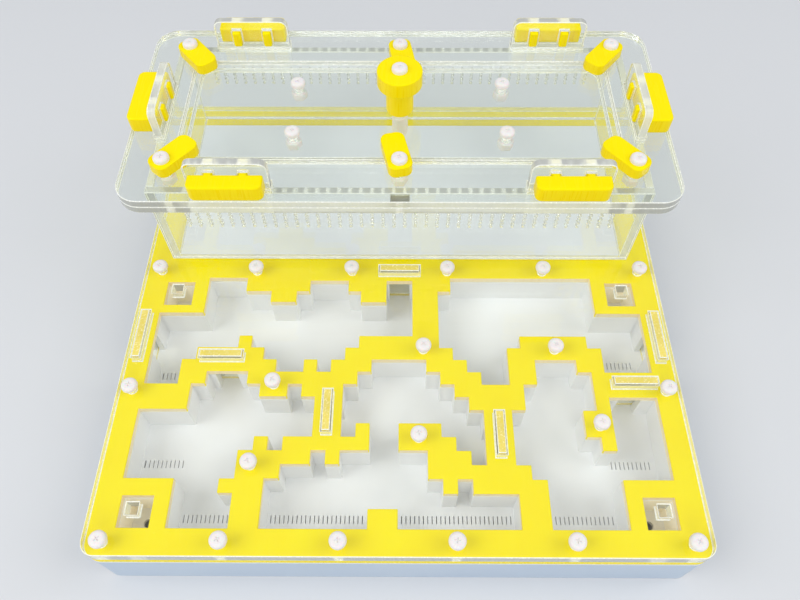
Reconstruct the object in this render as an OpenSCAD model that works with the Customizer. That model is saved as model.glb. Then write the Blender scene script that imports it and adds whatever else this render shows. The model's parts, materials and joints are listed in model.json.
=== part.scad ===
// Ant habitat: a square nest with pixel-shaped chambers under a clear cover,
// and a clear foraging box on its rear half with a lid held by turn latches.
// Millimetres. Origin at the centre of the nest's underside, +Z up, front at -Y.

/* [Nest] */
// Width of the nest, left to right
nest_w = 200; // [190:1:240]
// Depth of the nest, front to rear
nest_d = 200; // [196:1:240]
// Radius of the nest's upright corners
nest_r = 5; // [2:0.5:8]
// Height of the white base block
base_h = 20; // [18:0.5:30]
// Thickness of the yellow mask plate
mask_t = 3; // [2:0.5:5]
// Thickness of the clear cover plate
cover_t = 5; // [3:0.5:8]
// Thickness of the bottom plate that closes the water tank
bottom_t = 2; // [1.5:0.5:3]
// Width of the block's foot around the bottom plate
foot_rim = 4; // [3:0.5:6]
// Corner radius of the bottom plate's recess
foot_r = 4; // [1:0.5:6]
// Gap round the bottom plate
bottom_gap = 0.1; // [0.05:0.05:0.3]
// Width of the tank's walls, from the outside of the block
tank_wall = 9; // [8:0.5:10]
// Width of the ribs in the tank
tank_rib = 4; // [3:0.5:5]
// Number of ribs in the tank
rib_n = 3; // [1:1:5]
// Way round the ends of the ribs
rib_way = 12; // [8:1:20]

/* [Chambers] */
// Depth of the chambers in the base block
chamber_depth = 11.5; // [9:0.5:12]
// Thickness of the chamber floors over the tank
floor_t = 2; // [1.5:0.5:3]
// Size of one square of the chamber outlines
cell = 5; // [4.8:0.05:5.1]
// Distance from the nest's front edge to row 0 of the outlines
row_zero = 81.2; // [79:0.2:83]
// Width of the tunnels between chambers
tunnel_w = 8; // [6:0.5:9]
// Distance from the middle of a gate to the middle of its tunnel
tunnel_shift = 1.5; // [0:0.25:3]
// Width of a moisture slit
slit_w = 0.7; // [0.5:0.1:0.9]
// Length of a moisture slit
slit_l = 2.8; // [2:0.1:4]
// Spacing of the moisture slits
slit_pitch = 1.5; // [1.4:0.1:2]
// Distance from a chamber's side walls to the first and last slit
slit_side = 1.2; // [0.8:0.1:3]
// Distance from the slits to the row in front of them
slit_front = 5.5; // [4.5:0.1:7]

/* [Gates] */
// Thickness of the gate plates
gate_t = 3; // [2:0.25:3.5]
// Length of the gates between chambers
gate_l = 15.6; // [13:0.2:16]
// Length of the two side gates
side_gate_l = 20; // [16:0.5:22]
// Height that the gates stand out of the cover
gate_proud = 0.6; // [0.4:0.1:2]
// Gap between a gate and its slot, on each side
gate_gap = 0.25; // [0.2:0.05:0.4]
// Distance from the nest's side to the middle of a side gate
side_gate_in = 4; // [3:0.25:4.5]
// Distance from the nest's front edge to the middle of the entry gate
entry_gate = 109.9; // [109.6:0.1:110.1]

/* [Water ports] */
// Width of the square wells at the corners
well_w = 10.5; // [8:0.5:11]
// Distance from the nest's centre line to a well's centre
well_x = 85.75; // [84:0.25:87]
// Distance from the nest's front edge to a front well's centre
well_front = 15; // [13:0.5:17]
// Distance from the nest's front edge to a rear well's centre
well_rear = 100; // [99:0.5:101]
// Width of the filling hole in the cover
fill_w = 4; // [3:0.1:5]
// Diameter of the drain from a well to the tank
drain_d = 3; // [2:0.1:3.4]

/* [Cover screws] */
// Diameter of the nylon screw shanks
screw_d = 3; // [2.5:0.1:3]
// Diameter of the nylon screw heads
head_d = 5.7; // [5:0.1:6]
// Height of the nylon screw heads
head_h = 1.9; // [1.5:0.1:2.5]
// Depth of the cover screws in the base block
screw_bite = 8; // [6:0.5:9]
// Distance from the nest's front edge to the front row of screws
screw_in = 5; // [4.5:0.1:5.5]
// Distance from the nest's sides to the last screws of the rows
screw_corner = 5.8; // [5:0.1:6.4]
// Distance from the nest's front edge to the rear row of screws
screw_rear = 110.2; // [109.8:0.1:110.4]
// Spacing of the screws in the front and rear rows
screw_pitch = 37.6; // [37:0.1:37.8]
// Distance from the nest's front edge to the screw on each side edge
screw_side = 58.4; // [56:0.2:60]
// Distance from the nest's side to the screw on each side edge
screw_side_in = 4.5; // [4:0.1:5]
// Gap between a screw shank and a hole, on each side
screw_gap = 0.05; // [0.03:0.01:0.1]

/* [Foraging box] */
// Width of the box over its walls
box_w = 180; // [178:1:182]
// Depth of the box over its walls
box_d = 78.7; // [78:0.1:79]
// Height of the box walls
box_h = 36.5; // [34:0.5:60]
// Thickness of the box walls
wall_t = 3; // [2.5:0.25:3.5]
// Distance from the nest's front edge to the box
box_front = 114.3; // [114:0.1:115]
// Thickness of the white floor sheet
sheet_t = 1; // [0.5:0.25:2]
// Strip behind the floor sheet that stays bare
sheet_bare = 4.7; // [3:0.1:6]
// Gap between the floor sheet and the walls
sheet_gap = 0.2; // [0.1:0.05:0.5]
// Width of the way down from the box to the nest
entry_w = 8; // [6:0.5:8]
// Distance from the box's front to the middle of the way down
entry_in = 28.5; // [8.5:0.5:50]
// Diameter of an air hole
vent_d = 1.2; // [0.8:0.1:1.4]
// Spacing of the air holes along a wall
vent_pitch = 4; // [3:0.1:4]
// Number of air holes along a wall
vent_n = 40; // [10:1:41]
// Number of rows of air holes
vent_rows = 4; // [1:1:5]
// Spacing of the rows of air holes
vent_row_pitch = 2.1; // [2:0.1:3]
// Distance from the top of a wall to the first row of air holes
vent_top = 9.5; // [1.5:0.1:12]

/* [Frame and lid] */
// Thickness of each of the two frame plates and lid plates
plate_t = 3; // [2:0.5:4]
// Overhang of the frame past the box at the front and rear
lip_y = 6.9; // [6:0.1:6.9]
// Overhang of the frame past the box at the sides
lip_x = 9.2; // [8:0.1:9.8]
// Corner radius of the frame
frame_r = 9; // [6:0.5:11]
// Distance from the side walls' inner faces to the lid's upper plate
lid_side = 6.3; // [6:0.1:12]
// Distance from the front and rear walls' inner faces to the lid's upper plate
lid_front = 9.75; // [9.35:0.05:12]
// Corner radius of the lid
lid_r = 6; // [4:0.5:8]
// Width of the ledge that the lid's upper plate rests on
ledge = 2.4; // [1.5:0.1:3]
// Gap round the lid
lid_gap = 0.3; // [0.2:0.05:0.5]
// Distance from the lid's centre to its four bolts, sideways
bolt_x = 39.4; // [30:0.2:50]
// Distance from the lid's centre to its four bolts, front to rear
bolt_y = 13.2; // [10:0.2:16]
// Height of the nylon nuts
nut_h = 3; // [2:0.1:4]
// Width of the nylon nuts across their flats
nut_af = 5.5; // [5:0.1:5.6]

/* [Tabs and keys] */
// Height of the tabs above the frame
tab_h = 11; // [8:0.5:12]
// Length of the tabs
tab_l = 29; // [26:0.5:30]
// Corner radius of the tabs
tab_r = 3; // [1:0.5:4]
// Distance from the centre line to the front and rear tabs
tab_x = 59.3; // [57:0.1:60]
// Length of the keys
key_l = 26; // [24:0.5:30]
// Height of the keys
key_h = 6.5; // [4:0.5:7]
// Radius of the keys' outer corners
key_r = 2.5; // [1:0.5:3]
// Width of a key's prongs
prong_w = 3.2; // [3:0.1:5]
// Distance between the centres of a key's prongs
prong_pitch = 12; // [10:0.5:16]
// Length of a prong past the tab
prong_out = 1; // [1:0.1:3.6]
// Gap between a tab or a prong and its slot, on each side
fit_gap = 0.15; // [0.1:0.05:0.3]
// Gap between a key and its tab, and from the key to the frame's edge
key_gap = 0.2; // [0.1:0.05:0.4]

/* [Turn latches] */
// Thickness of the latches
latch_t = 4.5; // [2:0.5:5]
// Width of the latches
latch_w = 8.8; // [8:0.2:10]
// Distance from a latch's screw to its inner end
latch_reach = 13.8; // [12:0.2:15.4]
// Distance from a latch's screw to its outer end
latch_tail = 4.2; // [4:0.2:6.4]
// Corner radius of the latches
latch_r = 3; // [1:0.5:4]
// Distance from the side walls' inner faces to the corner latch screws
latch_side = 4; // [3.8:0.1:4.2]
// Distance from the front and rear walls' inner faces to the latch screws
latch_in = 5.6; // [4:0.1:6]
// Angle of the corner latches to the box's length
latch_turn = 50; // [40:1:50]
// Angle of the front latch to straight
front_turn = 13; // [0:1:20]
// Angle of the rear latch to straight
rear_turn = 10; // [0:1:20]

/* [Knob] */
// Diameter of the knob's disc
knob_d = 16.5; // [14:0.5:24]
// Thickness of the knob's disc
knob_t = 6; // [2:0.5:7]
// Diameter of the knob's neck
neck_d = 10.2; // [8:0.2:12]
// Height of the knob's neck
neck_h = 11.7; // [8:0.1:20]
// Diameter of the sleeve nut under the lid
sleeve_d = 6; // [5.6:0.1:8]
// Length of the sleeve nut
sleeve_h = 8.5; // [3:0.5:12]

/* [Hidden] */

// Cutters reach this far past what they cut
cut = 1;
// Shapes that join reach this far into each other
join = 0.5;
front = -nest_d / 2;
// The walls and the mask are stated in quarters that meet here
split_x = 2.5;
split_in = 113;
split_y = front + split_in;

// Heights
floor_z = base_h - chamber_depth;
tank_top = floor_z - floor_t;
mask_z = base_h;
cover_z = mask_z + mask_t;
deck_z = cover_z + cover_t;
frame_z = deck_z + box_h;
frame_mid = frame_z + plate_t;
frame_top = frame_mid + plate_t;
disc_z = frame_top + neck_h;

// The box in plan
box_y0 = front + box_front;
box_y1 = box_y0 + box_d;
box_mid = (box_y0 + box_y1) / 2;
inner_w = box_w - 2 * wall_t;
inner_d = box_d - 2 * wall_t;
frame_w = box_w + 2 * lip_x;
frame_d = box_d + 2 * lip_y;
lid_w = inner_w - 2 * lid_side;
lid_d = inner_d - 2 * lid_front;

// Columns and rows run to the right and to the front in squares of one cell
col_zero = 15;
col_edge = 3.4;
left_edge = -col_edge;
right_edge = 2 * col_zero + col_edge;
rear_edge = -5.25;
front_edge = 14.3;
// Row at which the way to the box leaves the rear left chamber
entry_row = -4;

// Outlines of the five chambers, as [column, row] corners
room_rear_left = [
    [0, rear_edge], [3, rear_edge], [3, -4], [5, -4], [5, -3], [7, -3], [7, -4], [8, -4],
    [8, -5], [11, -5], [11, -4], [12, -4], [12, -3], [14, -3], [14, -5], [16, -5],
    [16, 0], [12, 0], [12, 1], [11, 1], [11, 2], [10, 2], [10, 3], [9, 3],
    [9, 2], [8, 2], [8, 3], [6, 3], [6, 2], [5, 2], [5, 1], [4, 1],
    [4, 0], [3, 0], [3, 1], [0, 1], [0, 2], [-1, 2], [-1, 4], [left_edge, 4],
    [left_edge, -2], [0, -2]
];
room_rear_right = [
    [19, rear_edge], [30, rear_edge], [30, -2], [right_edge, -2], [right_edge, 3], [30, 3],
    [30, 1], [29, 1], [29, 0], [24, 0], [24, 1], [23, 1], [23, 4], [21, 4],
    [21, 3], [20, 3], [20, 2], [19, 2], [19, 1], [18, 1], [18, -4], [19, -4]
];
room_front_left = [
    [1, 3], [4, 3], [4, 4], [5, 4], [5, 5], [7, 5], [7, 4], [8, 4],
    [8, 5], [9, 5], [9, 8], [7, 8], [7, 9], [6, 9], [6, 8], [5, 8],
    [5, 9], [4, 9], [4, 11], [3, 11], [3, 12], [4, 12], [4, front_edge], [0, front_edge],
    [0, 11], [left_edge, 11], [left_edge, 6], [0, 6], [0, 4], [1, 4]
];
room_middle = [
    [13, 2], [17, 2], [17, 3], [18, 3], [18, 4], [19, 4], [19, 5], [20, 5],
    [20, 6], [21, 6], [21, 10], [20, 10], [20, 9], [19, 9], [19, 8], [18, 8],
    [18, 7], [15, 7], [15, 9], [17, 9], [17, 11], [18, 11], [18, 12], [19, 12],
    [19, 11], [20, 11], [20, 12], [23, 12], [23, front_edge], [15, front_edge], [15, 13],
    [13, 13], [13, front_edge], [6, front_edge], [6, 11], [7, 11], [7, 10], [9, 10],
    [9, 9], [10, 9], [10, 10], [11, 10], [11, 9], [13, 9], [13, 7], [12, 7],
    [12, 8], [11, 8], [11, 4], [12, 4], [12, 3], [13, 3]
];
room_front_right = [
    [25, 2], [28, 2], [28, 3], [29, 3], [29, 6], [28, 6], [28, 8], [29, 8],
    [29, 9], [30, 9], [30, 5], [right_edge, 5], [right_edge, 11], [30, 11],
    [30, front_edge], [25, front_edge], [25, 11], [24, 11], [24, 10], [23, 10],
    [23, 6], [24, 6], [24, 4], [25, 4]
];
rooms = [room_rear_left, room_rear_right, room_front_left, room_middle, room_front_right];

// Rows of moisture slits towards the front of the chambers: [first column, last column, row]
slit_rows = [
    [left_edge, -1, 3.4], [30, right_edge, 2.4], [left_edge, 0, 10.4], [30, right_edge, 10.4],
    [0, 4, front_edge], [6, 13, front_edge], [15, 23, front_edge], [25, 30, front_edge]
];

// Cover screws in the walls between chambers, as [column, row]
inner_screws = [[16.8, 1.2], [26.5, 1.2], [6, 4.1], [16.4, 8.1], [29, 7.2], [5, 10.1]];

// Place of a column and of a row
function col_x(col) = (col - col_zero) * cell;
function row_y(row) = front + row_zero - row * cell;
function grid(p) = [col_x(p[0]), row_y(p[1])];

screw_rows = [
    for (y = [front + screw_in, front + screw_rear])
    for (i = [-1, 1])
    for (x = [screw_pitch / 2, screw_pitch * 3 / 2, nest_w / 2 - screw_corner])
    [i * x, y]
];
screw_sides = [for (i = [-1, 1]) [i * (nest_w / 2 - screw_side_in), front + screw_side]];
screw_spots = concat(screw_rows, screw_sides, [for (p = inner_screws) grid(p)]);

well_spots = [
    for (i = [-1, 1])
    for (y = [well_front, well_rear])
    [i * well_x, front + y]
];

// Middle of each gate: the side gates, the entry gate and the four between chambers, as [column, row]
side_gate_row = 0.2;
side_gate_x = nest_w / 2 - side_gate_in;
side_gate_y = row_y(side_gate_row);
entry_gate_y = front + entry_gate;
gate_left_middle_at = grid([2, 1.9]);
gate_right_middle_at = grid([31.9, 4]);
gate_front_left_at = grid([10, 6.3]);
gate_front_right_at = grid([22, 7.9]);

entry_y = box_y0 + entry_in;
latch_x = inner_w / 2 - latch_side;

latch_y0 = box_y0 + wall_t + latch_in;
latch_y1 = box_y1 - wall_t - latch_in;
latch_spots = [
    for (y = [latch_y0, latch_y1])
    for (x = [-latch_x, 0, latch_x])
    [x, y]
];
bolt_spots = [
    for (i = [-1, 1])
    for (j = [-1, 1])
    [i * bolt_x, box_mid + j * bolt_y]
];

// ---- shapes that repeat ----

// Flat rectangle with rounded corners, centred
module rounded(w, d, r) {
    square([w - 2 * r, d], center = true);
    square([w, d - 2 * r], center = true);
    for (i = [-1, 1], j = [-1, 1])
        translate([i * (w / 2 - r), j * (d / 2 - r)])
            circle(r = r, $fn = 64);
}

// Plate with rounded corners, from height z
module plate(w, d, r, z, t) {
    translate([0, 0, z])
        linear_extrude(t)
            rounded(w, d, r);
}

// Box centred in plan on p, from height z
module block(p, w, d, z, h) {
    translate([p[0] - w / 2, p[1] - d / 2, z])
        cube([w, d, h]);
}

// Round rod or hole at p, from height z
module rod(p, d, z, h) {
    translate([p[0], p[1], z])
        cylinder(d = d, h = h, $fn = 48);
}

// Screw shank and head, the head's underside at height z
module nylon_screw(p, z, length) {
    rod(p, screw_d, z - length, length + join);
    rod(p, head_d, z, head_h);
}

// Hexagonal nut hanging from height z
module nylon_nut(p, z) {
    difference() {
        translate([p[0], p[1], z - nut_h])
            cylinder(d = nut_af / cos(30), h = nut_h, $fn = 6);
        rod(p, screw_d + 2 * screw_gap, z - nut_h - cut, nut_h + 2 * cut);
    }
}

// The chambers as one cutter, from height z
module room_cutter(z, h) {
    translate([0, 0, z])
        linear_extrude(h)
            for (room = rooms)
                polygon([for (p = room) grid(p)]);
}

module well_cutter(z, h) {
    for (p = well_spots)
        block(p, well_w, well_w, z, h);
}

module screw_cutter(z, h) {
    for (p = screw_spots)
        rod(p, screw_d + 2 * screw_gap, z, h);
}

// Every gate's slot, from height z
module gate_cutter(z, h) {
    t = gate_t + 2 * gate_gap;
    l = gate_l + 2 * gate_gap;
    side_l = side_gate_l + 2 * gate_gap;
    for (i = [-1, 1])
        block([i * side_gate_x, side_gate_y], t, side_l, z, h);
    block([0, entry_gate_y], l, t, z, h);
    block(gate_left_middle_at, l, t, z, h);
    block(gate_right_middle_at, l, t, z, h);
    block(gate_front_left_at, t, l, z, h);
    block(gate_front_right_at, t, l, z, h);
}

// Tunnels from chamber to chamber, to the sides and to the box
module tunnel_cutter() {
    z = floor_z - cut;
    h = chamber_depth + 2 * cut;
    side_l = nest_w / 2 + cut - (col_x(right_edge) - cell);
    for (i = [-1, 1])
        block([i * (nest_w / 2 + cut - side_l / 2), side_gate_y - tunnel_shift],
            side_l, tunnel_w, z, h);
    entry_l = entry_y + entry_w / 2 - row_y(entry_row);
    block([0, row_y(entry_row) + entry_l / 2], tunnel_w, entry_l, z, h);
    across = 3 * cell;
    block(gate_left_middle_at + [tunnel_shift, 0], tunnel_w, across, z, h);
    block(gate_right_middle_at - [tunnel_shift, 0], tunnel_w, across, z, h);
    block(gate_front_left_at, across, tunnel_w, z, h);
    block(gate_front_right_at, across, tunnel_w, z, h);
}

// Water tank under the chambers, cut from below, with ribs that leave a way round
module tank_cutter() {
    tank_w = nest_w - 2 * tank_wall;
    tank_d = nest_d - 2 * tank_wall;
    difference() {
        block([0, 0], tank_w, tank_d, bottom_t, tank_top - bottom_t);
        for (i = [1 : rib_n])
            block([(i / (rib_n + 1) - 1 / 2) * tank_w, 0], tank_rib, tank_d - 2 * rib_way,
                bottom_t - cut, tank_top + 2 * cut);
    }
}

module slit_cutter() {
    for (s = slit_rows) {
        x0 = col_x(s[0]) + slit_side;
        n = floor((col_x(s[1]) - slit_side - x0) / slit_pitch);
        for (i = [0 : n])
            block([x0 + i * slit_pitch, row_y(s[2]) + slit_front + slit_l / 2],
                slit_w, slit_l, tank_top - cut, floor_t + 2 * cut);
    }
}

// ---- the nest ----

// Quarter of the plan: i is -1 at the left or 1 at the right, j is -1 at the front or 1 at the rear
module quarter(i, j) {
    x0 = i < 0 ? split_x - 2 * nest_w : split_x;
    y0 = j < 0 ? split_y - 2 * nest_d : split_y;
    intersection() {
        children();
        translate([x0, y0, -cut])
            cube([2 * nest_w, 2 * nest_d, deck_z]);
    }
}

// Lower part of the white block: the water tank and the chamber floors
module nest_tray() {
    color("aliceblue")
    difference() {
        plate(nest_w, nest_d, nest_r, 0, floor_z);
        plate(nest_w - 2 * foot_rim, nest_d - 2 * foot_rim, foot_r, -cut, bottom_t + cut);
        tank_cutter();
        slit_cutter();
        for (p = well_spots)
            rod(p, drain_d, tank_top - cut, floor_t + 2 * cut);
    }
}

// Upper part of the white block: the walls round the chambers
module walls(i, j) {
    color("aliceblue")
    quarter(i, j)
    difference() {
        plate(nest_w, nest_d, nest_r, floor_z, chamber_depth);
        room_cutter(floor_z - cut, chamber_depth + 2 * cut);
        well_cutter(floor_z - cut, chamber_depth + 2 * cut);
        tunnel_cutter();
        gate_cutter(floor_z - cut, chamber_depth + 2 * cut);
        screw_cutter(base_h - screw_bite, screw_bite + cut);
    }
}

module walls_front_left() { walls(-1, -1); }
module walls_front_right() { walls(1, -1); }
module walls_rear_left() { walls(-1, 1); }
module walls_rear_right() { walls(1, 1); }

module bottom_plate() {
    rim = foot_rim + bottom_gap;
    color("whitesmoke")
    plate(nest_w - 2 * rim, nest_d - 2 * rim, foot_r, 0, bottom_t);
}

// Yellow plate that hides the walls between the chambers
module mask(i, j) {
    color("gold")
    quarter(i, j)
    difference() {
        plate(nest_w, nest_d, nest_r, mask_z, mask_t);
        room_cutter(mask_z - cut, mask_t + 2 * cut);
        well_cutter(mask_z - cut, mask_t + 2 * cut);
        gate_cutter(mask_z - cut, mask_t + 2 * cut);
        screw_cutter(mask_z - cut, mask_t + 2 * cut);
        block([0, entry_y], entry_w, entry_w, mask_z - cut, mask_t + 2 * cut);
    }
}

module mask_front_left() { mask(-1, -1); }
module mask_front_right() { mask(1, -1); }
module mask_rear_left() { mask(-1, 1); }
module mask_rear_right() { mask(1, 1); }

module cover_plate() {
    color("lightcyan", 0.35)
    difference() {
        plate(nest_w, nest_d, nest_r, cover_z, cover_t);
        gate_cutter(cover_z - cut, cover_t + 2 * cut);
        screw_cutter(cover_z - cut, cover_t + 2 * cut);
        for (p = well_spots)
            block(p, fill_w, fill_w, cover_z - cut, cover_t + 2 * cut);
        block([0, entry_y], entry_w, entry_w, cover_z - cut, cover_t + 2 * cut);
    }
}

module cover_screws() {
    color("white")
    for (p = screw_spots)
        nylon_screw(p, deck_z, cover_t + mask_t + screw_bite);
}

// ---- gates ----

// Gate plate that lifts out of its slot
module gate(p, w, d) {
    color("lightcyan", 0.5)
    block(p, w, d, floor_z, deck_z + gate_proud - floor_z);
}

module gate_left() { gate([-side_gate_x, side_gate_y], gate_t, side_gate_l); }
module gate_right() { gate([side_gate_x, side_gate_y], gate_t, side_gate_l); }
module gate_entry() { gate([0, entry_gate_y], gate_l, gate_t); }
module gate_left_middle() { gate(gate_left_middle_at, gate_l, gate_t); }
module gate_right_middle() { gate(gate_right_middle_at, gate_l, gate_t); }
module gate_front_left() { gate(gate_front_left_at, gate_t, gate_l); }
module gate_front_right() { gate(gate_front_right_at, gate_t, gate_l); }

// ---- the foraging box ----

// Tab on top of a wall of thickness wall_t, standing along X, centred on x = 0
module tab() {
    h = 2 * plate_t + tab_h;
    slot_w = prong_w + 2 * fit_gap;
    translate([0, wall_t / 2, frame_z])
    rotate([90, 0, 0])
    linear_extrude(wall_t)
    difference() {
        union() {
            translate([-tab_l / 2, -join])
                square([tab_l, h + join - tab_r]);
            translate([-tab_l / 2 + tab_r, 0])
                square([tab_l - 2 * tab_r, h]);
            for (i = [-1, 1])
                translate([i * (tab_l / 2 - tab_r), h - tab_r])
                    circle(r = tab_r, $fn = 48);
        }
        for (i = [-1, 1])
            translate([i * prong_pitch / 2 - slot_w / 2, 2 * plate_t])
                square([slot_w, key_h + fit_gap]);
    }
}

// Front or rear wall, centred on y
module long_wall(y) {
    top_row = frame_z - vent_top;
    color("lightcyan", 0.35)
    difference() {
        union() {
            block([0, y], box_w, wall_t, deck_z, box_h);
            for (i = [-1, 1])
                translate([i * tab_x, y, 0])
                    tab();
        }
        for (i = [0 : vent_n - 1], j = [0 : vent_rows - 1])
            translate([(i - (vent_n - 1) / 2) * vent_pitch, y + wall_t, top_row - j * vent_row_pitch])
                rotate([90, 0, 0])
                    cylinder(d = vent_d, h = 2 * wall_t, $fn = 16);
    }
}

module side_wall(x) {
    color("lightcyan", 0.35) {
        block([x, box_mid], wall_t, inner_d, deck_z, box_h);
        translate([x, box_mid, 0])
            rotate([0, 0, 90])
                tab();
    }
}

module box_front() { long_wall(box_y0 + wall_t / 2); }
module box_rear() { long_wall(box_y1 - wall_t / 2); }
module box_left() { side_wall(-(box_w - wall_t) / 2); }
module box_right() { side_wall((box_w - wall_t) / 2); }

module floor_sheet() {
    y0 = box_y0 + wall_t + sheet_gap;
    d = inner_d - sheet_bare - sheet_gap;
    color("whitesmoke")
    difference() {
        block([0, y0 + d / 2], inner_w - 2 * sheet_gap, d, deck_z, sheet_t);
        block([0, entry_y], entry_w, entry_w, deck_z - cut, sheet_t + 2 * cut);
    }
}

// Slots for the six tabs and holes for the latch screws, from height z
module frame_cutter(z) {
    l = tab_l + 2 * fit_gap;
    t = wall_t + 2 * fit_gap;
    h = plate_t + 2 * cut;
    for (i = [-1, 1]) {
        for (y = [box_y0 + wall_t / 2, box_y1 - wall_t / 2])
            block([i * tab_x, y], l, t, z - cut, h);
        block([i * (box_w - wall_t) / 2, box_mid], t, l, z - cut, h);
    }
    for (p = latch_spots)
        rod(p, screw_d + 2 * screw_gap, z - cut, h);
}

// Frame plate with an opening of w by d
module frame_plate(z, w, d, r) {
    color("lightcyan", 0.35)
    difference() {
        translate([0, box_mid, 0]) {
            difference() {
                plate(frame_w, frame_d, frame_r, z, plate_t);
                plate(w, d, r, z - cut, plate_t + 2 * cut);
            }
        }
        frame_cutter(z);
    }
}

module frame_lower() {
    frame_plate(frame_z, lid_w - 2 * ledge, lid_d - 2 * ledge, lid_r - ledge / 2);
}

module frame_upper() {
    frame_plate(frame_mid, lid_w + 2 * lid_gap, lid_d + 2 * lid_gap, lid_r + lid_gap);
}

// ---- the lid ----

module lid_plate(z, w, d, r) {
    color("lightcyan", 0.35)
    difference() {
        translate([0, box_mid, 0])
            plate(w, d, r, z, plate_t);
        for (p = concat(bolt_spots, [[0, box_mid]]))
            rod(p, screw_d + 2 * screw_gap, z - cut, plate_t + 2 * cut);
    }
}

module lid_upper() { lid_plate(frame_mid, lid_w, lid_d, lid_r); }

// The lower plate drops into the lower opening and keeps the lid from sliding
module lid_lower() {
    inset = 2 * (ledge + lid_gap);
    lid_plate(frame_z, lid_w - inset, lid_d - inset, lid_r - ledge / 2 - lid_gap);
}

module lid_bolts() {
    color("white")
    for (p = bolt_spots)
        nylon_screw(p, frame_top, 2 * plate_t + nut_h);
}

module lid_nuts() {
    color("white")
    for (p = bolt_spots)
        nylon_nut(p, frame_z);
}

// ---- the knob ----

module knob_ring(d, z, h) {
    p = [0, box_mid];
    difference() {
        rod(p, d, z, h);
        rod(p, screw_d + 2 * screw_gap, z - cut, h + 2 * cut);
    }
}

module knob_disc() { color("gold") knob_ring(knob_d, disc_z, knob_t); }
module knob_neck() { color("gold") knob_ring(neck_d, frame_top, neck_h); }
module knob_nut() { color("white") knob_ring(sleeve_d, frame_z - sleeve_h, sleeve_h); }

module knob_screw() {
    color("white")
    nylon_screw([0, box_mid], disc_z + knob_t, knob_t + neck_h + 2 * plate_t + sleeve_h);
}

// ---- keys ----

// Key on the front lip, its prongs pointing to +Y through a tab at y = 0
module key(lip) {
    bar = lip - 2 * key_gap;
    y1 = -wall_t / 2 - key_gap;
    color("gold") {
        translate([0, 0, frame_top])
        linear_extrude(key_h) {
            translate([-key_l / 2, y1 - bar + key_r])
                square([key_l, bar - key_r]);
            translate([-key_l / 2 + key_r, y1 - bar])
                square([key_l - 2 * key_r, bar]);
            for (i = [-1, 1])
                translate([i * (key_l / 2 - key_r), y1 - bar + key_r])
                    circle(r = key_r, $fn = 32);
        }
        prong_l = join + key_gap + wall_t + prong_out;
        for (i = [-1, 1])
            block([i * prong_pitch / 2, y1 - join + prong_l / 2], prong_w, prong_l, frame_top, key_h);
    }
}

module key_at(p, angle, lip) {
    translate([p[0], p[1], 0])
        rotate([0, 0, angle])
            key(lip);
}

module key_front_left() { key_at([-tab_x, box_y0 + wall_t / 2], 0, lip_y); }
module key_front_right() { key_at([tab_x, box_y0 + wall_t / 2], 0, lip_y); }
module key_rear_left() { key_at([-tab_x, box_y1 - wall_t / 2], 180, lip_y); }
module key_rear_right() { key_at([tab_x, box_y1 - wall_t / 2], 180, lip_y); }
module key_left() { key_at([-(box_w - wall_t) / 2, box_mid], 270, lip_x); }
module key_right() { key_at([(box_w - wall_t) / 2, box_mid], 90, lip_x); }

// ---- turn latches ----

// Latch that turns on its screw at p and points along angle
module latch(p, angle) {
    l = latch_reach + latch_tail;
    color("gold")
    translate([p[0], p[1], frame_top])
    rotate([0, 0, angle])
    difference() {
        translate([(latch_reach - latch_tail) / 2, 0, 0])
            plate(l, latch_w, latch_r, 0, latch_t);
        rod([0, 0], screw_d + 2 * screw_gap, -cut, latch_t + 2 * cut);
    }
}

module latch_front_left() { latch([-latch_x, latch_y0], latch_turn); }
module latch_front() { latch([0, latch_y0], 90 + front_turn); }
module latch_front_right() { latch([latch_x, latch_y0], 180 - latch_turn); }
module latch_rear_left() { latch([-latch_x, latch_y1], -latch_turn); }
module latch_rear() { latch([0, latch_y1], -90 + rear_turn); }
module latch_rear_right() { latch([latch_x, latch_y1], 180 + latch_turn); }

module latch_screws() {
    color("white")
    for (p = latch_spots)
        nylon_screw(p, frame_top + latch_t, latch_t + 2 * plate_t + nut_h);
}

module latch_nuts() {
    color("white")
    for (p = latch_spots)
        nylon_nut(p, frame_z);
}

nest_tray();
bottom_plate();
walls_front_left();
walls_front_right();
walls_rear_left();
walls_rear_right();
mask_front_left();
mask_front_right();
mask_rear_left();
mask_rear_right();
cover_plate();
cover_screws();
gate_left();
gate_right();
gate_entry();
gate_left_middle();
gate_right_middle();
gate_front_left();
gate_front_right();
box_front();
box_rear();
box_left();
box_right();
floor_sheet();
frame_lower();
frame_upper();
lid_lower();
lid_upper();
lid_bolts();
lid_nuts();
knob_disc();
knob_neck();
knob_screw();
knob_nut();
key_front_left();
key_front_right();
key_rear_left();
key_rear_right();
key_left();
key_right();
latch_front_left();
latch_front();
latch_front_right();
latch_rear_left();
latch_rear();
latch_rear_right();
latch_screws();
latch_nuts();
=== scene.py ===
import json
import math

import bmesh
import bpy
from mathutils import Matrix, Vector
from mathutils.geometry import tessellate_polygon

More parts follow.
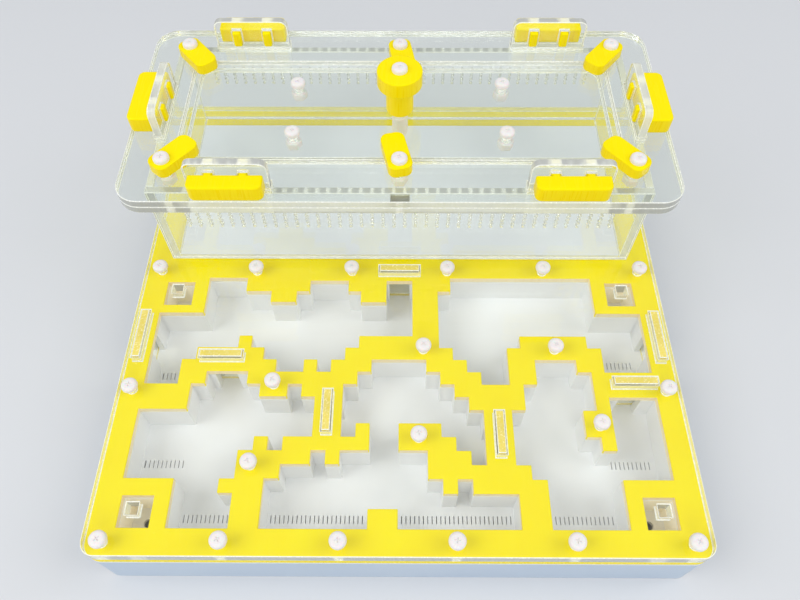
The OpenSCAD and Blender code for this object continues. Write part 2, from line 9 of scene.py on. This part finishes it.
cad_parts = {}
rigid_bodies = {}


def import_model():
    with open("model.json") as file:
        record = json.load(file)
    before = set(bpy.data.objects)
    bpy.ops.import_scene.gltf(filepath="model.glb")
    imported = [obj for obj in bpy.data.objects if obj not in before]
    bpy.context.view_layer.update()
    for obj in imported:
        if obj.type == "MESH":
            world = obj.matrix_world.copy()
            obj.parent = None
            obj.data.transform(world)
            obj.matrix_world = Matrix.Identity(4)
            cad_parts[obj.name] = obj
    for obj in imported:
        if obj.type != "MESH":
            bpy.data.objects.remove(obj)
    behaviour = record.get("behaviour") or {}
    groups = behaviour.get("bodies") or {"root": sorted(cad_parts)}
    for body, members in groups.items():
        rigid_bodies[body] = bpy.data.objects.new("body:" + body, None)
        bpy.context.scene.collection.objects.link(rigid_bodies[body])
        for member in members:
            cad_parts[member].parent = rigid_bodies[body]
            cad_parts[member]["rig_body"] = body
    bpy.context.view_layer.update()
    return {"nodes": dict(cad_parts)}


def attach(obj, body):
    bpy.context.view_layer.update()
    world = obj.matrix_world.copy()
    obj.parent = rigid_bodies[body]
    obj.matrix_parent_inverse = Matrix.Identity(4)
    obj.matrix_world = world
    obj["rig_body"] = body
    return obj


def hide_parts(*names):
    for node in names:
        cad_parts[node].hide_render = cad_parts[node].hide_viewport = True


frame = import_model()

MM = 0.001
NODES = frame["nodes"]

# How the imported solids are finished: welded, plates and nuts drawn in by a hair, and rims broken
WELD = 0.0005 * MM
FLAT_ANGLE = math.radians(0.6)
RIM_ANGLE = math.radians(35)
AIR = 0.02 * MM
CLEAR_RIM = 0.3 * MM
YELLOW_RIM = 0.35 * MM
KEY_RIM = 0.7 * MM
WHITE_RIM = 0.3 * MM
SHORTEST_RIM = 0.2 * MM
RIM_STEPS = 2
ROUND_PROFILE = 0.5
SAME_PLACE = 0.01 * MM
SHADING_WEIGHT = 80

# A face lies flat, or square to an axis, above these cosines, and stands upright below the last
FLAT_COSINE = 0.995
SQUARE_COSINE = 0.99
UPRIGHT_COSINE = 0.5

# Places in a finished piece's list of materials
SHEET_SLOT = 0
EDGE_SLOT = 1
RIM_SLOT = 2
WELL_SLOT = 3

# The walls and the yellow plate come in quarters that meet on these planes
SEAM_X = 2.5 * MM
SEAM_Y = 13.0 * MM
# Height at which the walls stand on the tray
TRAY_TOP = 8.5 * MM
# Underside of the chamber floors, and the slits through them
TANK_TOP = 6.5 * MM
SLIT_LENGTH = 2.8 * MM
SLIT_SLACK = 0.05 * MM
SLIT_DRAW = 0.2 * MM
# Middles of the four wells, and half their width with a little over
WELL_X = 85.75 * MM
WELL_Y = (-85.0 * MM, 0.0 * MM)
WELL_REACH = 5.5 * MM
# Faces further out than this are the outside of the nest
NEST_SIDE = 99.4 * MM

AXES = {"X": Vector((1, 0, 0)), "Y": Vector((0, 1, 0)), "Z": Vector((0, 0, 1))}

# The direction that each clear sheet was cut along
CLEAR_PLATES = {
    "cover_plate": "Z",
    "frame_lower": "Z",
    "frame_upper": "Z",
    "lid_lower": "Z",
    "lid_upper": "Z",
    "box_front": "Y",
    "box_rear": "Y",
    "box_left": "X",
    "box_right": "X",
}
GATES = {
    "gate_left": "X",
    "gate_right": "X",
    "gate_entry": "Y",
    "gate_left_middle": "Y",
    "gate_right_middle": "Y",
    "gate_front_left": "X",
    "gate_front_right": "X",
}
WALLS = ["walls_front_left", "walls_front_right", "walls_rear_left", "walls_rear_right"]
MASKS = ["mask_front_left", "mask_front_right", "mask_rear_left", "mask_rear_right"]
KEYS = ["key_front_left", "key_front_right", "key_rear_left", "key_rear_right", "key_left", "key_right"]
LATCHES = [
    "latch_front_left",
    "latch_front",
    "latch_front_right",
    "latch_rear_left",
    "latch_rear",
    "latch_rear_right",
]

# Pan head of the nylon screws: its upright wall, its flat top, and the rings that round it
HEAD_RADIUS = 2.85 * MM
HEAD_HEIGHT = 1.9 * MM
HEAD_WALL = 0.85 * MM
HEAD_FLAT = 1.6 * MM
HEAD_STEPS = 6
RING_SIDES = 40
# Cross recess: half its length and width, depth, how far it narrows, and its turn from screw to screw
CROSS_REACH = 1.05 * MM
CROSS_ARM = 0.22 * MM
CROSS_DEPTH = 0.4 * MM
CROSS_TAPER = 0.6
CROSS_TURN = 0.7
# Thread, with a root and a crest on each side of every turn, and turns to spare at its ends
THREAD_RADIUS = 1.48 * MM
THREAD_ROOT = 1.24 * MM
THREAD_PITCH = 0.5 * MM
THREAD_SIDES = 24
TURN_POINTS = 2
SPARE_TURNS = 2


# ---- materials ----

ACRYLIC_IOR = 1.49
# Colour sockets of the mix node, whose names it also gives to its number and vector sockets
MIX_FACTOR = 0
MIX_FIRST = 6
MIX_SECOND = 7
MIX_RESULT = 2


class Shader:
    """A material with a Principled surface, and short calls that add nodes to it."""

    def __init__(self, name):
        self.material = bpy.data.materials.new(name)
        self.material.use_nodes = True
        self.nodes = self.material.node_tree.nodes
        self.links = self.material.node_tree.links
        self.surface = self.nodes["Principled BSDF"]
        self.output = self.nodes["Material Output"]

    def feed(self, socket, value):
        if isinstance(value, bpy.types.NodeSocket):
            self.links.new(value, socket)
        else:
            socket.default_value = value

    def add(self, kind, settings=None, **inputs):
        node = self.nodes.new("ShaderNode" + kind)
        for name, value in (settings or {}).items():
            setattr(node, name, value)
        for name, value in inputs.items():
            self.feed(node.inputs[name.replace("_", " ")], value)
        return node

    def set(self, **inputs):
        for name, value in inputs.items():
            self.feed(self.surface.inputs[name.replace("_", " ")], value)

    def place(self, stretch=(1, 1, 1)):
        """Coordinates on the object in metres, stretched along its axes."""
        where = self.add("TexCoord").outputs["Object"]
        return self.add("Mapping", Vector=where, Scale=stretch).outputs["Vector"]

    def noise(self, size, detail=3, stretch=(1, 1, 1)):
        """Even noise whose grain is about size across."""
        node = self.add("TexNoise", Vector=self.place(stretch), Scale=1 / size, Detail=detail)
        return node.outputs["Fac"]

    def between(self, value, low, high, start=0.3, end=0.7):
        """A value from noise, spread from low to high."""
        inputs = {"From_Min": start, "From_Max": end, "To_Min": low, "To_Max": high}
        return self.add("MapRange", Value=value, **inputs).outputs["Result"]

    def blend(self, factor, first, second):
        """A colour between two, by a factor."""
        mix = self.add("Mix", {"data_type": "RGBA"})
        self.feed(mix.inputs[MIX_FACTOR], factor)
        self.feed(mix.inputs[MIX_FIRST], first)
        self.feed(mix.inputs[MIX_SECOND], second)
        return mix.outputs[MIX_RESULT]

    def bump(self, height, depth, normal=None):
        node = self.add("Bump", Height=height, Distance=depth)
        if normal is not None:
            self.feed(node.inputs["Normal"], normal)
        return node.outputs["Normal"]

    def total(self, first, second):
        node = self.add("Math", {"operation": "ADD"})
        self.feed(node.inputs[0], first)
        self.feed(node.inputs[1], second)
        return node.outputs[0]

    def pass_light(self, tint):
        """Light reaches what is behind the clear sheet, as it does through real acrylic."""
        path = self.add("LightPath").outputs
        unseen = self.add("Math", {"operation": "MAXIMUM"})
        self.feed(unseen.inputs[0], path["Is Shadow Ray"])
        self.feed(unseen.inputs[1], path["Is Diffuse Ray"])
        clear = self.add("BsdfTransparent", Color=tint).outputs[0]
        mix = self.add("MixShader", Fac=unseen.outputs[0])
        self.feed(mix.inputs[1], self.surface.outputs[0])
        self.feed(mix.inputs[2], clear)
        self.feed(self.output.inputs["Surface"], mix.outputs[0])


def rgb(red, green, blue):
    """An sRGB colour of 0 to 255 as the linear colour that shaders take."""
    def linear(c):
        c = c / 255
        return c / 12.92 if c <= 0.04045 else ((c + 0.055) / 1.055) ** 2.4
    return (linear(red), linear(green), linear(blue), 1)


def clear_face():
    """Polished acrylic sheet, with faint wipe marks and specks of dust."""
    shader = Shader("clear_acrylic_face")
    wipes = shader.noise(9 * MM, detail=6, stretch=(1, 0.15, 1))
    specks = shader.noise(0.35 * MM, detail=1)
    haze = shader.between(wipes, 0.0, 0.02)
    dust = shader.between(specks, 0.0, 0.3, start=0.79, end=0.83)
    shader.set(Roughness=shader.total(haze, dust))
    shader.set(Base_Color=rgb(253, 255, 253), IOR=ACRYLIC_IOR, Specular_IOR_Level=0.2)
    shader.set(Transmission_Weight=1.0)
    shader.pass_light((0.985, 0.99, 0.985, 1))
    return shader.material


def clear_edge():
    """Laser-cut edge of clear acrylic: glassy, a little frosted, with faint upright lines."""
    shader = Shader("clear_acrylic_edge")
    lines = shader.noise(0.6 * MM, detail=2, stretch=(1, 1, 0.04))
    colour = shader.blend(shader.between(lines, 0, 1), rgb(245, 247, 240), rgb(252, 254, 248))
    shader.set(Base_Color=colour, Roughness=shader.between(lines, 0.12, 0.25))
    shader.set(IOR=ACRYLIC_IOR, Transmission_Weight=0.5, Specular_IOR_Level=0.3)
    shader.set(Normal=shader.bump(lines, 0.002 * MM))
    shader.pass_light((0.93, 0.94, 0.92, 1))
    return shader.material


def gate_edge_painted_yellow():
    """Cut edges of a gate, with a painted reflection of the yellow round its slot, which stays when the
    gate is lifted out.
    """
    shader = Shader("gate_edge_painted_yellow")
    lines = shader.noise(0.8 * MM, detail=2)
    # Painted reflection: the yellow of the plate round the slot, put into the edge's own colour and
    # into the light it lets through
    colour = shader.blend(shader.between(lines, 0, 1), rgb(247, 226, 96), rgb(250, 234, 150))
    shader.set(Base_Color=colour, Roughness=shader.between(lines, 0.15, 0.3))
    shader.set(IOR=ACRYLIC_IOR, Transmission_Weight=0.2, Specular_IOR_Level=0.3)
    shader.pass_light((0.9, 0.88, 0.7, 1))
    return shader.material


def clear_rim_painted_highlight():
    """Broken rim of a clear sheet, where the light gathers: bright and milky, a painted highlight."""
    shader = Shader("clear_acrylic_rim_painted_highlight")
    grain = shader.noise(1.5 * MM, detail=3)
    # Painted highlight: a near-opaque cream white on the rim stands for the light that gathers there
    colour = shader.blend(shader.between(grain, 0, 1), rgb(246, 249, 238), rgb(254, 255, 250))
    shader.set(Base_Color=colour, Roughness=shader.between(grain, 0.2, 0.32))
    shader.set(IOR=ACRYLIC_IOR, Transmission_Weight=0.15, Specular_IOR_Level=0.3)
    shader.pass_light((0.9, 0.91, 0.89, 1))
    return shader.material


def yellow_face():
    """Glossy opaque yellow acrylic sheet."""
    shader = Shader("yellow_acrylic_face")
    cast = shader.noise(14 * MM, detail=4)
    marks = shader.noise(1.2 * MM, detail=5, stretch=(1, 0.1, 1))
    colour = shader.blend(shader.between(cast, 0, 1), rgb(254, 231, 0), rgb(255, 236, 0))
    shader.set(Base_Color=colour, Roughness=shader.between(marks, 0.2, 0.32))
    shader.set(IOR=ACRYLIC_IOR, Specular_IOR_Level=0.1)
    shader.set(Normal=shader.bump(cast, 0.03 * MM))
    return shader.material


def yellow_edge():
    """Laser-cut edge of yellow acrylic: a deeper yellow, with faint upright lines."""
    shader = Shader("yellow_acrylic_edge")
    lines = shader.noise(0.5 * MM, detail=2, stretch=(1, 1, 0.05))
    colour = shader.blend(shader.between(lines, 0, 1), rgb(252, 222, 0), rgb(255, 231, 8))
    shader.set(Base_Color=colour, Roughness=shader.between(lines, 0.25, 0.36))
    shader.set(IOR=ACRYLIC_IOR, Specular_IOR_Level=0.2)
    shader.set(Normal=shader.bump(lines, 0.004 * MM))
    return shader.material


def mask_edge():
    """Cut edge of the yellow plate round the chambers: pale and creamy."""
    shader = Shader("yellow_acrylic_pale_edge")
    lines = shader.noise(0.7 * MM, detail=2, stretch=(1, 1, 0.1))
    colour = shader.blend(shader.between(lines, 0, 1), rgb(248, 226, 178), rgb(250, 236, 200))
    shader.set(Base_Color=colour, Roughness=shader.between(lines, 0.3, 0.45))
    shader.set(IOR=ACRYLIC_IOR, Specular_IOR_Level=0.2)
    return shader.material


def white_body():
    """White block inside, with fine tool marks and a soft grain."""
    shader = Shader("white_body")
    grain = shader.noise(0.25 * MM, detail=4)
    passes = shader.noise(0.8 * MM, detail=2, stretch=(0.04, 1, 1))
    cast = shader.noise(22 * MM, detail=3)
    colour = shader.blend(shader.between(cast, 0, 1), rgb(235, 235, 235), rgb(240, 241, 242))
    shader.set(Base_Color=colour, Roughness=shader.between(grain, 0.4, 0.52))
    shader.set(Specular_IOR_Level=0.3)
    fine = shader.bump(grain, 0.015 * MM)
    shader.set(Normal=shader.bump(passes, 0.01 * MM, fine))
    return shader.material


def white_well_painted_bounce():
    """Walls and floor of the water wells, with painted bounce light: warmer and brighter than the
    block, for the light from the yellow round them.
    """
    shader = Shader("white_well_painted_bounce")
    grain = shader.noise(0.25 * MM, detail=4)
    cast = shader.noise(6 * MM, detail=3)
    # Painted light: the warm, bright white stands for light bounced into the wells off the yellow plate
    colour = shader.blend(shader.between(cast, 0, 1), rgb(250, 245, 228), rgb(252, 248, 236))
    shader.set(Base_Color=colour, Roughness=shader.between(grain, 0.4, 0.52))
    shader.set(Normal=shader.bump(grain, 0.015 * MM))
    return shader.material


def painted_shade_side():
    """Outer sides of the white block: a satin white with painted shade, a cool grey-blue darker than
    the rest of the block.
    """
    shader = Shader("white_body_painted_shade_side")
    grain = shader.noise(0.3 * MM, detail=4)
    cast = shader.noise(30 * MM, detail=3)
    # Painted shade: a grey-blue darker than the block's white stands for the shade on its outer sides
    colour = shader.blend(shader.between(cast, 0, 1), rgb(187, 203, 221), rgb(193, 208, 224))
    shader.set(Base_Color=colour, Roughness=shader.between(grain, 0.35, 0.45))
    shader.set(Normal=shader.bump(grain, 0.012 * MM))
    return shader.material


def white_sheet():
    """Matt white sheet on the box floor."""
    shader = Shader("white_sheet")
    grain = shader.noise(0.3 * MM, detail=4)
    cast = shader.noise(30 * MM, detail=3)
    colour = shader.blend(shader.between(cast, 0, 1), rgb(222, 226, 232), rgb(229, 233, 238))
    shader.set(Base_Color=colour, Roughness=shader.between(grain, 0.5, 0.65))
    shader.set(Normal=shader.bump(grain, 0.02 * MM))
    return shader.material


def nylon():
    """White nylon, waxy and a little translucent."""
    shader = Shader("nylon")
    grain = shader.noise(0.5 * MM, detail=3)
    colour = shader.blend(shader.between(grain, 0, 1), rgb(232, 227, 226), rgb(240, 236, 234))
    shader.set(Base_Color=colour, Roughness=shader.between(grain, 0.4, 0.5))
    shader.set(Subsurface_Weight=0.2, Subsurface_Scale=0.8 * MM)
    shader.set(Specular_IOR_Level=0.3)
    shader.set(Normal=shader.bump(grain, 0.01 * MM))
    return shader.material


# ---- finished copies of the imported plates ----


def new_piece(name, bm, body, materials, nodes):
    """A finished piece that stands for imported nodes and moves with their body."""
    mesh = bpy.data.meshes.new(name)
    bm.to_mesh(mesh)
    bm.free()
    mesh.shade_smooth()
    mesh.set_sharp_from_angle(angle=RIM_ANGLE)
    for material in materials:
        mesh.materials.append(material)
    piece = bpy.data.objects.new(name, mesh)
    bpy.context.scene.collection.objects.link(piece)
    weighted = piece.modifiers.new("even_shading", "WEIGHTED_NORMAL")
    weighted.keep_sharp = True
    weighted.weight = SHADING_WEIGHT
    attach(piece, body)
    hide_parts(*nodes)


def body_of(node):
    return NODES[node]["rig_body"]


def on_seam(face):
    """True for a face where two quarters of a plate meet."""
    middle = face.calc_center_median()
    across_x = abs(face.normal.x) > SQUARE_COSINE and abs(middle.x - SEAM_X) < SAME_PLACE
    across_y = abs(face.normal.y) > SQUARE_COSINE and abs(middle.y - SEAM_Y) < SAME_PLACE
    return across_x or across_y


def weld(bm):
    bmesh.ops.remove_doubles(bm, verts=bm.verts, dist=WELD)
    bmesh.ops.dissolve_limit(bm, angle_limit=FLAT_ANGLE, verts=bm.verts, edges=bm.edges)
    bm.normal_update()


def joined(nodes):
    """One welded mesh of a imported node, or of the quarters of a plate without their seams."""
    bm = bmesh.new()
    for node in nodes:
        bm.from_mesh(NODES[node].data)
    if len(nodes) > 1:
        bm.normal_update()
        bmesh.ops.delete(bm, geom=[f for f in bm.faces if on_seam(f)], context="FACES")
    weld(bm)
    return bm


def draw_in(bm):
    """Moves every face inwards by a hair, so that plates which touch don't share a surface."""
    moves = [(v, v.normal * AIR * v.calc_shell_factor()) for v in bm.verts]
    for vert, move in moves:
        vert.co -= move
    bm.normal_update()


def is_rim(edge):
    """True for a sharp outer edge that is long enough to break."""
    if len(edge.link_faces) != 2 or not edge.is_convex:
        return False
    return edge.calc_face_angle() > RIM_ANGLE and edge.calc_length() > SHORTEST_RIM


def at_height(edge, height):
    return all(abs(v.co.z - height) < SAME_PLACE for v in edge.verts)


def break_rims(bm, rims, width):
    """Rounds the rims off and gives the new faces the rim's material."""
    result = bmesh.ops.bevel(
        bm,
        geom=rims,
        offset=width,
        offset_type="OFFSET",
        segments=RIM_STEPS,
        profile=ROUND_PROFILE,
        affect="EDGES",
        clamp_overlap=False,
    )
    for face in result["faces"]:
        face.material_index = RIM_SLOT
    bm.normal_update()


def finished_plate(node, axis, materials, rim):
    """A plate with broken rims, in the materials of its sheet faces, its cut edges and its rims."""
    bm = joined([node])
    draw_in(bm)
    for face in bm.faces:
        flat = abs(face.normal.dot(AXES[axis])) > FLAT_COSINE
        face.material_index = SHEET_SLOT if flat else EDGE_SLOT
    break_rims(bm, [e for e in bm.edges if is_rim(e)], rim)
    new_piece(node + "_finished", bm, body_of(node), materials, [node])


def make_clear_plates():
    materials = [clear_face(), clear_edge(), clear_rim_painted_highlight()]
    for node, axis in CLEAR_PLATES.items():
        finished_plate(node, axis, materials, CLEAR_RIM)
    gate_materials = [materials[SHEET_SLOT], gate_edge_painted_yellow(), materials[RIM_SLOT]]
    for node, axis in GATES.items():
        finished_plate(node, axis, gate_materials, CLEAR_RIM)


def is_outside(place):
    """True for a place on the nest's outer sides."""
    return max(abs(place.x), abs(place.y)) > NEST_SIDE


def make_mask(face):
    """The yellow plate, with pale cut edges round the chambers and yellow ones on the nest's sides."""
    bm = joined(MASKS)
    draw_in(bm)
    for f in bm.faces:
        yellow = abs(f.normal.z) > FLAT_COSINE or is_outside(f.calc_center_median())
        f.material_index = SHEET_SLOT if yellow else EDGE_SLOT
    break_rims(bm, [e for e in bm.edges if is_rim(e)], YELLOW_RIM)
    new_piece("mask_plate", bm, "habitat", [face, mask_edge(), face], MASKS)


def make_yellow_plates():
    face = yellow_face()
    edge = yellow_edge()
    make_mask(face)
    materials = [face, edge, face]
    for node in KEYS:
        finished_plate(node, "Z", materials, KEY_RIM)
    for node in LATCHES + ["knob_disc", "knob_neck"]:
        finished_plate(node, "Z", materials, YELLOW_RIM)


def in_well(place):
    """True for a place in one of the four square wells."""
    across = abs(abs(place.x) - WELL_X) < WELL_REACH
    along = min(abs(place.y - y) for y in WELL_Y) < WELL_REACH
    return across and along and place.z > TRAY_TOP - SAME_PLACE


def is_slit_side(face):
    """True for a long side of a moisture slit in the tray's floor."""
    if abs(face.normal.x) < SQUARE_COSINE:
        return False
    reach = [v.co for v in face.verts]
    length = max(p.y for p in reach) - min(p.y for p in reach)
    foot = min(p.z for p in reach)
    return abs(length - SLIT_LENGTH) < SLIT_SLACK and abs(foot - TANK_TOP) < SAME_PLACE


def narrow_slits(bm):
    """Draws the cut sides of each slit together, as thin as a laser leaves them."""
    moves = [(v, f.normal * SLIT_DRAW) for f in bm.faces if is_slit_side(f) for v in f.verts]
    for vert, move in moves:
        vert.co += move
    bm.normal_update()


def block_slot(face):
    """The material of a face of the white block: wells with painted bounce light, outer sides with
    painted shade, or the rest.
    """
    middle = face.calc_center_median()
    if in_well(middle):
        return WELL_SLOT
    upright = abs(face.normal.z) < UPRIGHT_COSINE
    return EDGE_SLOT if upright and is_outside(middle) else SHEET_SLOT


def make_block(body):
    """The white block: its tray, and its walls without the seams between their quarters."""
    materials = [body, painted_shade_side(), body, white_well_painted_bounce()]
    for name, nodes in (("nest_tray_finished", ["nest_tray"]), ("walls_finished", WALLS)):
        bm = joined(nodes)
        narrow_slits(bm)
        for face in bm.faces:
            face.material_index = block_slot(face)
        rims = [e for e in bm.edges if is_rim(e) and not at_height(e, TRAY_TOP)]
        break_rims(bm, rims, WHITE_RIM)
        new_piece(name, bm, "habitat", materials, nodes)


# ---- nylon screws and nuts ----


def solids_of(node):
    """(x, y, lowest z, highest z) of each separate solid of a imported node."""
    bm = joined([node])
    left = set(bm.verts)
    found = []
    while left:
        group = []
        front = [left.pop()]
        while front:
            vert = front.pop()
            group.append(vert.co.copy())
            near = [e.other_vert(vert) for e in vert.link_edges]
            fresh = [v for v in near if v in left]
            left.difference_update(fresh)
            front.extend(fresh)
        low = Vector([min(p[i] for p in group) for i in range(3)])
        high = Vector([max(p[i] for p in group) for i in range(3)])
        found.append(((low.x + high.x) / 2, (low.y + high.y) / 2, low.z, high.z))
    bm.free()
    return sorted(found)


def ring(bm, x, y, z, radius):
    step = 2 * math.pi / RING_SIDES
    angles = [i * step for i in range(RING_SIDES)]
    return [bm.verts.new((x + radius * math.cos(a), y + radius * math.sin(a), z)) for a in angles]


def bridge(bm, lower, upper):
    """Faces between two rings of the same count, facing outwards when the second ring is higher."""
    count = len(lower)
    for i in range(count):
        j = (i + 1) % count
        bm.faces.new((lower[i], lower[j], upper[j], upper[i]))


def cross_outline(x, y, z, scale=1.0):
    """Twelve corners of a plus sign, counter-clockwise from the right arm."""
    a = CROSS_ARM * scale
    r = CROSS_REACH * scale
    plan = [
        (r, -a), (r, a), (a, a),
        (a, r), (-a, r), (-a, a),
        (-r, a), (-r, -a), (-a, -a),
        (-a, -r), (a, -r), (a, -a),
    ]
    return [Vector((x + u, y + v, z)) for u, v in plan]


def turned_cross(bm, x, y, z, turn, scale=1.0):
    """The corners of a plus sign, turned about the screw's axis."""
    spin = Matrix.Rotation(turn, 4, "Z")
    middle = Vector((x, y, 0))
    return [bm.verts.new(spin @ (p - middle) + middle) for p in cross_outline(x, y, z, scale)]


def head_rings(bm, x, y, z):
    """Rings from the underside of a head up its wall and over its rounded shoulder."""
    rings = [ring(bm, x, y, z, HEAD_RADIUS), ring(bm, x, y, z + HEAD_WALL, HEAD_RADIUS)]
    rise = HEAD_HEIGHT - HEAD_WALL
    for k in range(1, HEAD_STEPS + 1):
        angle = math.pi / 2 * k / HEAD_STEPS
        radius = HEAD_FLAT + (HEAD_RADIUS - HEAD_FLAT) * math.cos(angle)
        rings.append(ring(bm, x, y, z + HEAD_WALL + rise * math.sin(angle), radius))
    return rings


def pan_head(bm, x, y, z, turn):
    """Round-edged head with a cross recess, its underside at height z."""
    rings = head_rings(bm, x, y, z)
    bm.faces.new(list(reversed(rings[0])))
    for lower, upper in zip(rings, rings[1:]):
        bridge(bm, lower, upper)
    top = z + HEAD_HEIGHT
    mouth = turned_cross(bm, x, y, top, turn)
    floor = turned_cross(bm, x, y, top - CROSS_DEPTH, turn, CROSS_TAPER)
    outer = rings[-1]
    inner = list(reversed(mouth))
    corners = outer + inner
    for triangle in tessellate_polygon([[v.co for v in outer], [v.co for v in inner]]):
        bm.faces.new([corners[i] for i in triangle])
    bridge(bm, inner, list(reversed(floor)))
    bm.faces.new(floor)


def thread_column(x, y, low, high, side, turns):
    """Points up one side of a thread, root and crest in turn, kept between two heights."""
    angle = 2 * math.pi * side / THREAD_SIDES
    points = []
    for k in range(TURN_POINTS * turns + 1):
        rise = low - THREAD_PITCH + THREAD_PITCH * (k / TURN_POINTS + side / THREAD_SIDES)
        radius = THREAD_RADIUS if k % TURN_POINTS else THREAD_ROOT
        z = min(max(rise, low), high)
        points.append((x + radius * math.cos(angle), y + radius * math.sin(angle), z))
    return points


def thread(bm, x, y, low, high):
    """Threaded shank between two heights."""
    turns = int((high - low) / THREAD_PITCH) + SPARE_TURNS
    columns = []
    for side in range(THREAD_SIDES):
        points = thread_column(x, y, low, high, side, turns)
        columns.append([bm.verts.new(p) for p in points])
    # The last side meets the first one turn further up
    columns.append(columns[0][TURN_POINTS:])
    for near, far in zip(columns, columns[1:]):
        for k in range(len(far) - 1):
            bm.faces.new((near[k], far[k], far[k + 1], near[k + 1]))


def make_screws(node, material):
    """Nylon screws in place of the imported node: pan heads on threaded shanks."""
    bm = bmesh.new()
    for number, (x, y, low, high) in enumerate(solids_of(node)):
        under = high - HEAD_HEIGHT
        pan_head(bm, x, y, under, CROSS_TURN * number)
        thread(bm, x, y, low, under)
    bmesh.ops.remove_doubles(bm, verts=bm.verts, dist=WELD)
    bmesh.ops.dissolve_degenerate(bm, edges=bm.edges, dist=WELD)
    bmesh.ops.recalc_face_normals(bm, faces=bm.faces)
    new_piece(node + "_finished", bm, body_of(node), [material], [node])


def dress(node, material):
    """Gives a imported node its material."""
    for slot in NODES[node].material_slots:
        slot.material = material


def make_whites():
    body = white_body()
    make_block(body)
    dress("bottom_plate", body)
    dress("floor_sheet", white_sheet())
    plastic = nylon()
    for node in ("cover_screws", "lid_bolts", "latch_screws", "knob_screw"):
        make_screws(node, plastic)
    for node in ("lid_nuts", "latch_nuts", "knob_nut"):
        finished_plate(node, "Z", [plastic, plastic, plastic], WHITE_RIM)


# ---- stage, light and camera ----

FLOOR_COLOUR = rgb(214, 216, 219)
FLOOR_SIZE = 6.0
FLOOR_DROP = 0.02 * MM
WORLD_STRENGTH = 0.8

# Place and width of each square lamp in metres, and its power in watts; all point at one spot
LAMP_TARGET = Vector((0, 0, 0.02))
LAMPS = {
    "soft_left": ((-0.75, -0.25, 0.85), 0.7, 4.9),
    "soft_right": ((0.8, -0.1, 0.8), 0.7, 3.7),
    "soft_front": ((0.0, -0.9, 0.7), 0.6, 2.3),
}


def make_stage():
    """Plain pale floor, of the same colour as the world behind it."""
    shader = Shader("floor")
    shader.set(Base_Color=FLOOR_COLOUR, Roughness=0.9, Specular_IOR_Level=0.1)
    bpy.ops.mesh.primitive_plane_add(size=FLOOR_SIZE, location=(0, 0, -FLOOR_DROP))
    floor = bpy.context.object
    floor.name = "floor"
    floor.data.materials.append(shader.material)


def make_world():
    world = bpy.data.worlds.new("studio")
    bpy.context.scene.world = world
    world.use_nodes = True
    back = world.node_tree.nodes["Background"]
    back.inputs["Color"].default_value = FLOOR_COLOUR
    back.inputs["Strength"].default_value = WORLD_STRENGTH


def make_lamps():
    for name, (place, size, power) in LAMPS.items():
        lamp = bpy.data.lights.new(name, "AREA")
        lamp.shape = "SQUARE"
        lamp.size = size
        lamp.energy = power
        holder = bpy.data.objects.new(name, lamp)
        bpy.context.scene.collection.objects.link(holder)
        holder.location = place
        aim = LAMP_TARGET - Vector(place)
        holder.rotation_euler = aim.to_track_quat("-Z", "Y").to_euler()


# Where the photograph was taken from, its lens and sensor, and how the camera was turned
CAMERA_PLACE = Vector((1.6, -152.7, 257.1)) * MM
CAMERA_LENS = 32.08
CAMERA_SENSOR = 36
CAMERA_CLIP = 0.01
CAMERA_RIGHT = (0.99998, 0.00532, -0.00236)
CAMERA_UP = (-0.00319, 0.84027, 0.54216)
CAMERA_BACK = (0.00487, -0.54214, 0.84027)


def make_camera():
    data = bpy.data.cameras.new("camera")
    data.lens = CAMERA_LENS
    data.sensor_width = CAMERA_SENSOR
    data.clip_start = CAMERA_CLIP
    camera = bpy.data.objects.new("camera", data)
    bpy.context.scene.collection.objects.link(camera)
    turn = Matrix((CAMERA_RIGHT, CAMERA_UP, CAMERA_BACK)).transposed().to_4x4()
    camera.matrix_world = Matrix.Translation(CAMERA_PLACE) @ turn
    bpy.context.scene.camera = camera


make_camera()
make_clear_plates()
make_yellow_plates()
make_whites()
make_stage()
make_world()
make_lamps()

scene = bpy.context.scene
scene.view_settings.view_transform = "Standard"
scene.cycles.max_bounces = 24
scene.cycles.diffuse_bounces = 12
scene.cycles.transmission_bounces = 24
scene.cycles.transparent_max_bounces = 32
